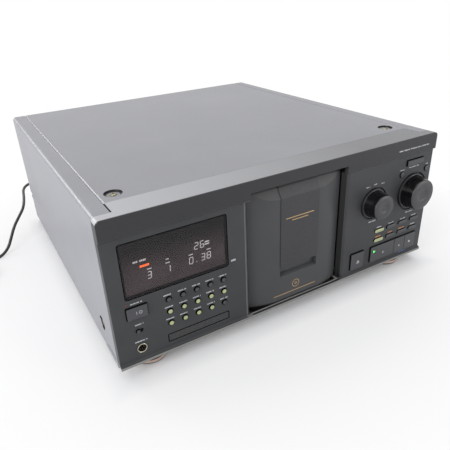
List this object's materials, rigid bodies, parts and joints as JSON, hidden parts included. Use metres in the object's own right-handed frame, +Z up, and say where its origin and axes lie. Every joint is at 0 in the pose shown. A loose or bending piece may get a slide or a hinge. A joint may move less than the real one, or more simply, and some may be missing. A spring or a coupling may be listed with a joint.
{
  "type": "carousel disc changer",
  "caption": "Wide hi-fi disc changer with a carousel of upright discs behind a convex tilting front door, two dials, rows of push buttons, a display window and a mains cord.",
  "frame": {"origin": "on the surface that the feet stand on, under the middle of the changer's box from the dials to the rear jacks", "axes": "+X to the right seen from the front, +Y to the rear, +Z up"},
  "size_m": [0.634, 0.5281, 0.181],
  "materials": {
    "cover_paint": "satin grey paint",
    "black_paint": "satin black paint",
    "zinc_steel": "zinc-plated sheet",
    "core_steel": "laminated core",
    "screw_zinc": "yellow zinc",
    "panel_plastic": "satin black",
    "door_plastic": "satin black",
    "grip_plastic": "semi-gloss black",
    "key_plastic": "satin black",
    "dial_plastic": "satin black",
    "pale_plastic": "translucent pale green",
    "smoked_window": "smoked acrylic",
    "display_glass": "dark display tube",
    "foot_plastic": "black moulded",
    "jack_plastic": "black moulded",
    "table_plastic": "black moulded",
    "gear_plastic": "natural acetal",
    "board": "phenolic board",
    "cord_rubber": "black sheathing"
  },
  "bodies": {
    "changer": {"top_cover": "cover_paint", "chassis_base": "zinc_steel", "rear_panel": "black_paint", "front_panel": "panel_plastic", "control_boards": "board", "feet": "foot_plastic", "case_screws": "screw_zinc", "rear_jacks": "jack_plastic", "table_motor": "zinc_steel", "player_mechanism": "zinc_steel", "main_board": "board", "power_transformer": "core_steel", "display_window": "smoked_window", "display_tube": "display_glass", "keyboard_socket": "jack_plastic", "cord_strain_relief": "cord_rubber", "power_cord": "cord_rubber", "cord_coil": "cord_rubber", "power_plug": "cord_rubber"},
    "door": {"front_door": "door_plastic", "door_grip_panel": "grip_plastic"},
    "table": {"disc_table": "table_plastic"},
    "drive_gear": {"table_drive_gear": "gear_plastic"},
    "sled": {"pickup_sled": "jack_plastic"},
    "spindle": {"disc_spindle": "gear_plastic"},
    "arm": {"loading_arm": "gear_plastic"},
    "timer": {"timer_switch": "key_plastic"},
    "power_key": {"power_button": "key_plastic"},
    "open_close_key": {"open_close_button": "key_plastic"},
    "play_key": {"play_button": "key_plastic"},
    "pause_key": {"pause_button": "key_plastic"},
    "stop_key": {"stop_button": "key_plastic"},
    "bar_key": {"bar_button": "key_plastic"},
    "round_01": {"round_button_01": "key_plastic"},
    "round_02": {"round_button_02": "key_plastic"},
    "round_03": {"round_button_03": "key_plastic"},
    "round_04": {"round_button_04": "key_plastic"},
    "round_05": {"round_button_05": "key_plastic"},
    "round_06": {"round_button_06": "pale_plastic"},
    "round_07": {"round_button_07": "pale_plastic"},
    "round_08": {"round_button_08": "pale_plastic"},
    "round_09": {"round_button_09": "pale_plastic"},
    "round_10": {"round_button_10": "pale_plastic"},
    "round_11": {"round_button_11": "pale_plastic"},
    "round_12": {"round_button_12": "pale_plastic"},
    "round_13": {"round_button_13": "pale_plastic"},
    "round_14": {"round_button_14": "pale_plastic"},
    "round_15": {"round_button_15": "key_plastic"},
    "spot_1": {"spot_button_1": "key_plastic"},
    "spot_2": {"spot_button_2": "key_plastic"},
    "pill_1": {"pill_button_1": "pale_plastic"},
    "pill_2": {"pill_button_2": "key_plastic"},
    "pill_3": {"pill_button_3": "key_plastic"},
    "pill_4": {"pill_button_4": "key_plastic"},
    "pill_5": {"pill_button_5": "pale_plastic"},
    "pill_6": {"pill_button_6": "key_plastic"},
    "pill_7": {"pill_button_7": "key_plastic"},
    "pill_8": {"pill_button_8": "key_plastic"},
    "jog": {"big_dial": "dial_plastic"},
    "selector": {"small_dial": "dial_plastic"}
  },
  "joints": [
    {"name": "door_hinge", "type": "hinge", "parent": "changer", "child": "door", "pos_m": [0.0055, -0.207, 0.029], "axis": [1, 0, 0], "range_deg": [0, 75]},
    {"name": "table_spin", "type": "hinge", "parent": "changer", "child": "table", "pos_m": [0, 0.006, 0.033], "axis": [0, 0, 1], "continuous": true},
    {"name": "drive_gear_spin", "type": "hinge", "parent": "changer", "child": "drive_gear", "pos_m": [0, 0.06225, 0.026], "axis": [0, 0, 1], "continuous": true},
    {"name": "sled_slide", "type": "slide", "parent": "changer", "child": "sled", "axis": [0, 1, 0], "range_m": [0, 0.032]},
    {"name": "spindle_spin", "type": "hinge", "parent": "changer", "child": "spindle", "pos_m": [-0.004, 0.006, 0.102], "axis": [1, 0, 0], "continuous": true},
    {"name": "arm_swing", "type": "hinge", "parent": "changer", "child": "arm", "pos_m": [0.0138, 0.006, 0.132], "axis": [1, 0, 0], "range_deg": [-25, 0]},
    {"name": "timer_slide", "type": "slide", "parent": "changer", "child": "timer", "axis": [1, 0, 0], "range_m": [0, 0.003]},
    {"name": "power_press", "type": "slide", "parent": "changer", "child": "power_key", "axis": [0, 1, 0], "range_m": [0, 0.0015], "stiffness_N_per_m": 500},
    {"name": "open_close_press", "type": "slide", "parent": "changer", "child": "open_close_key", "axis": [0, 1, 0], "range_m": [0, 0.0015], "stiffness_N_per_m": 500},
    {"name": "play_press", "type": "slide", "parent": "changer", "child": "play_key", "axis": [0, 1, 0], "range_m": [0, 0.0015], "stiffness_N_per_m": 500},
    {"name": "pause_press", "type": "slide", "parent": "changer", "child": "pause_key", "axis": [0, 1, 0], "range_m": [0, 0.0015], "stiffness_N_per_m": 500},
    {"name": "stop_press", "type": "slide", "parent": "changer", "child": "stop_key", "axis": [0, 1, 0], "range_m": [0, 0.0015], "stiffness_N_per_m": 500},
    {"name": "bar_press", "type": "slide", "parent": "changer", "child": "bar_key", "axis": [0, 1, 0], "range_m": [0, 0.0015], "stiffness_N_per_m": 500},
    {"name": "round_01_press", "type": "slide", "parent": "changer", "child": "round_01", "axis": [0, 1, 0], "range_m": [0, 0.0015], "stiffness_N_per_m": 300},
    {"name": "round_02_press", "type": "slide", "parent": "changer", "child": "round_02", "axis": [0, 1, 0], "range_m": [0, 0.0015], "stiffness_N_per_m": 300},
    {"name": "round_03_press", "type": "slide", "parent": "changer", "child": "round_03", "axis": [0, 1, 0], "range_m": [0, 0.0015], "stiffness_N_per_m": 300},
    {"name": "round_04_press", "type": "slide", "parent": "changer", "child": "round_04", "axis": [0, 1, 0], "range_m": [0, 0.0015], "stiffness_N_per_m": 300},
    {"name": "round_05_press", "type": "slide", "parent": "changer", "child": "round_05", "axis": [0, 1, 0], "range_m": [0, 0.0015], "stiffness_N_per_m": 300},
    {"name": "round_06_press", "type": "slide", "parent": "changer", "child": "round_06", "axis": [0, 1, 0], "range_m": [0, 0.0015], "stiffness_N_per_m": 300},
    {"name": "round_07_press", "type": "slide", "parent": "changer", "child": "round_07", "axis": [0, 1, 0], "range_m": [0, 0.0015], "stiffness_N_per_m": 300},
    {"name": "round_08_press", "type": "slide", "parent": "changer", "child": "round_08", "axis": [0, 1, 0], "range_m": [0, 0.0015], "stiffness_N_per_m": 300},
    {"name": "round_09_press", "type": "slide", "parent": "changer", "child": "round_09", "axis": [0, 1, 0], "range_m": [0, 0.0015], "stiffness_N_per_m": 300},
    {"name": "round_10_press", "type": "slide", "parent": "changer", "child": "round_10", "axis": [0, 1, 0], "range_m": [0, 0.0015], "stiffness_N_per_m": 300},
    {"name": "round_11_press", "type": "slide", "parent": "changer", "child": "round_11", "axis": [0, 1, 0], "range_m": [0, 0.0015], "stiffness_N_per_m": 300},
    {"name": "round_12_press", "type": "slide", "parent": "changer", "child": "round_12", "axis": [0, 1, 0], "range_m": [0, 0.0015], "stiffness_N_per_m": 300},
    {"name": "round_13_press", "type": "slide", "parent": "changer", "child": "round_13", "axis": [0, 1, 0], "range_m": [0, 0.0015], "stiffness_N_per_m": 300},
    {"name": "round_14_press", "type": "slide", "parent": "changer", "child": "round_14", "axis": [0, 1, 0], "range_m": [0, 0.0015], "stiffness_N_per_m": 300},
    {"name": "round_15_press", "type": "slide", "parent": "changer", "child": "round_15", "axis": [0, 1, 0], "range_m": [0, 0.0015], "stiffness_N_per_m": 300},
    {"name": "spot_1_press", "type": "slide", "parent": "changer", "child": "spot_1", "axis": [0, 1, 0], "range_m": [0, 0.0015], "stiffness_N_per_m": 300},
    {"name": "spot_2_press", "type": "slide", "parent": "changer", "child": "spot_2", "axis": [0, 1, 0], "range_m": [0, 0.0015], "stiffness_N_per_m": 300},
    {"name": "pill_1_press", "type": "slide", "parent": "changer", "child": "pill_1", "axis": [0, 1, 0], "range_m": [0, 0.0015], "stiffness_N_per_m": 300},
    {"name": "pill_2_press", "type": "slide", "parent": "changer", "child": "pill_2", "axis": [0, 1, 0], "range_m": [0, 0.0015], "stiffness_N_per_m": 300},
    {"name": "pill_3_press", "type": "slide", "parent": "changer", "child": "pill_3", "axis": [0, 1, 0], "range_m": [0, 0.0015], "stiffness_N_per_m": 300},
    {"name": "pill_4_press", "type": "slide", "parent": "changer", "child": "pill_4", "axis": [0, 1, 0], "range_m": [0, 0.0015], "stiffness_N_per_m": 300},
    {"name": "pill_5_press", "type": "slide", "parent": "changer", "child": "pill_5", "axis": [0, 1, 0], "range_m": [0, 0.0015], "stiffness_N_per_m": 300},
    {"name": "pill_6_press", "type": "slide", "parent": "changer", "child": "pill_6", "axis": [0, 1, 0], "range_m": [0, 0.0015], "stiffness_N_per_m": 300},
    {"name": "pill_7_press", "type": "slide", "parent": "changer", "child": "pill_7", "axis": [0, 1, 0], "range_m": [0, 0.0015], "stiffness_N_per_m": 300},
    {"name": "pill_8_press", "type": "slide", "parent": "changer", "child": "pill_8", "axis": [0, 1, 0], "range_m": [0, 0.0015], "stiffness_N_per_m": 300},
    {"name": "jog_turn", "type": "hinge", "parent": "changer", "child": "jog", "pos_m": [0.1858, -0.22, 0.1085], "axis": [0, 1, 0], "continuous": true},
    {"name": "selector_turn", "type": "hinge", "parent": "changer", "child": "selector", "pos_m": [0.1195, -0.22, 0.1087], "axis": [0, 1, 0], "continuous": true}
  ],
  "couplings": [
    {"joint": "drive_gear_spin", "follows": "table_spin", "ratio": 4}
  ]
}
